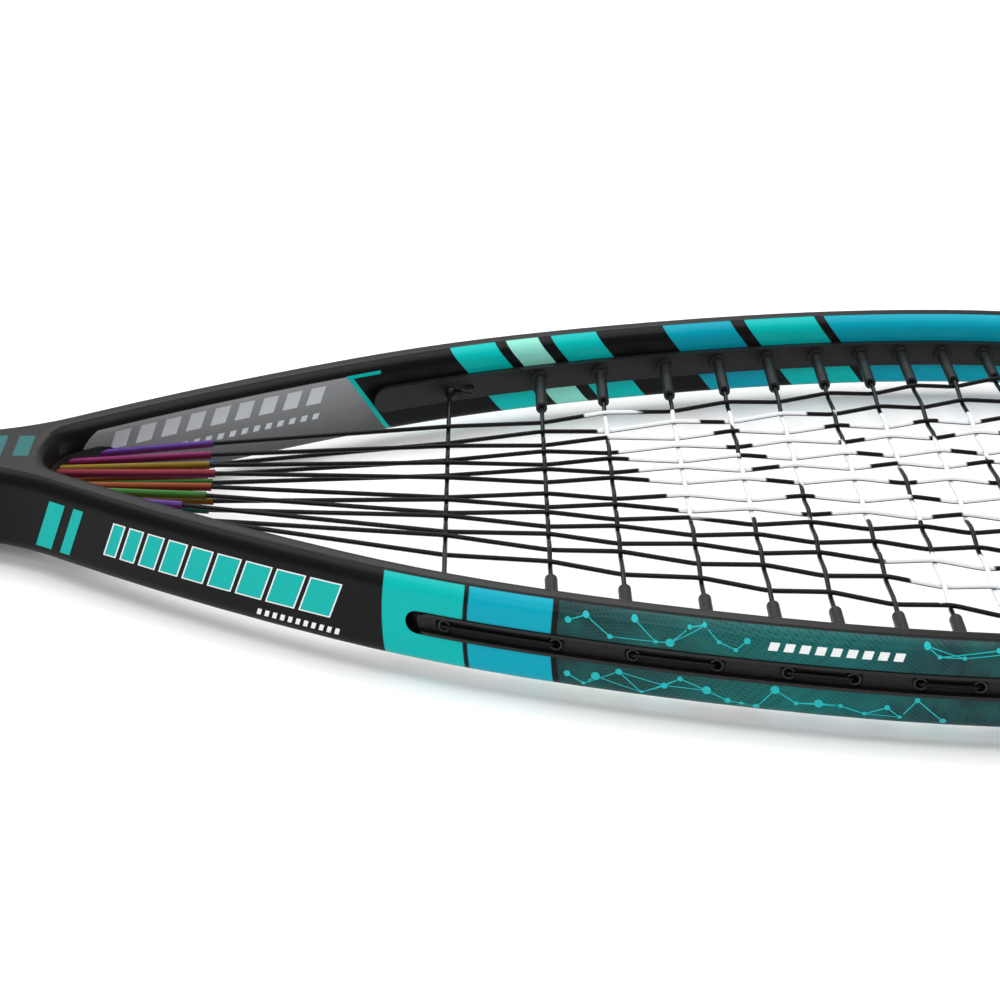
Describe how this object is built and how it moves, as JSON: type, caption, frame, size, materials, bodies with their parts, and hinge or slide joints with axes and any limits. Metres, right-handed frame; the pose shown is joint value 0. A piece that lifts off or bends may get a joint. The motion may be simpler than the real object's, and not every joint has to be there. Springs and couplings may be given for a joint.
{
  "type": "racquetball racquet",
  "caption": "Teardrop-headed racquet with a fan of mains that run through coloured tubes into the handle.",
  "frame": {"origin": "centre of the bounding box footprint, on the rest plane of the butt cap", "axes": "+X from butt to tip, +Y across the head, +Z normal to the string bed"},
  "size_m": [0.5588, 0.2428, 0.03],
  "materials": {
    "carbon_frame": "satin clear-coated carbon with teal and grey graphics",
    "strip_black": "fine grained matte",
    "string_black": "glossy, with a pale stencil band",
    "tube_purple": "iridescent",
    "tube_blue": "iridescent",
    "tube_magenta": "iridescent",
    "tube_orange": "iridescent",
    "tube_yellow": "iridescent",
    "tube_green": "iridescent",
    "tube_red": "iridescent",
    "tube_darkgreen": "iridescent",
    "tube_cyan": "iridescent",
    "anchor_plastic": "moulded",
    "steel": "plain",
    "pallet": "foamed",
    "grip": "tacky, perforated",
    "tape": "vinyl tape",
    "collar": "soft moulded",
    "cap": "moulded, fine texture"
  },
  "bodies": {
    "racquet": {"anchor_pin": "steel", "butt_cap": "cap", "butt_staples": "steel", "cross_string": "string_black", "finish_tape": "tape", "frame": "carbon_frame", "grip_collar": "collar", "grip_wrap": "grip", "inner_strip_left": "strip_black", "inner_strip_right": "strip_black", "main_string": "string_black", "outer_strip": "strip_black", "pallet_lower": "pallet", "pallet_upper": "pallet", "string_anchor": "anchor_plastic", "string_knot": "string_black", "string_tube_01": "tube_purple", "string_tube_02": "tube_blue", "string_tube_03": "tube_magenta", "string_tube_04": "tube_orange", "string_tube_05": "tube_yellow", "string_tube_06": "tube_green", "string_tube_07": "tube_red", "string_tube_08": "tube_orange", "string_tube_09": "tube_yellow", "string_tube_10": "tube_green", "string_tube_11": "tube_darkgreen", "string_tube_12": "tube_purple", "string_tube_13": "tube_blue", "string_tube_14": "tube_cyan", "throat_grommet": "strip_black", "tip_strip": "strip_black"},
    "plug": {"end_plug": "cap"}
  },
  "joints": [
    {"name": "plug_slide", "type": "slide", "parent": "racquet", "child": "plug", "axis": [-1, 0, 0], "range_m": [0, 0.012]}
  ]
}
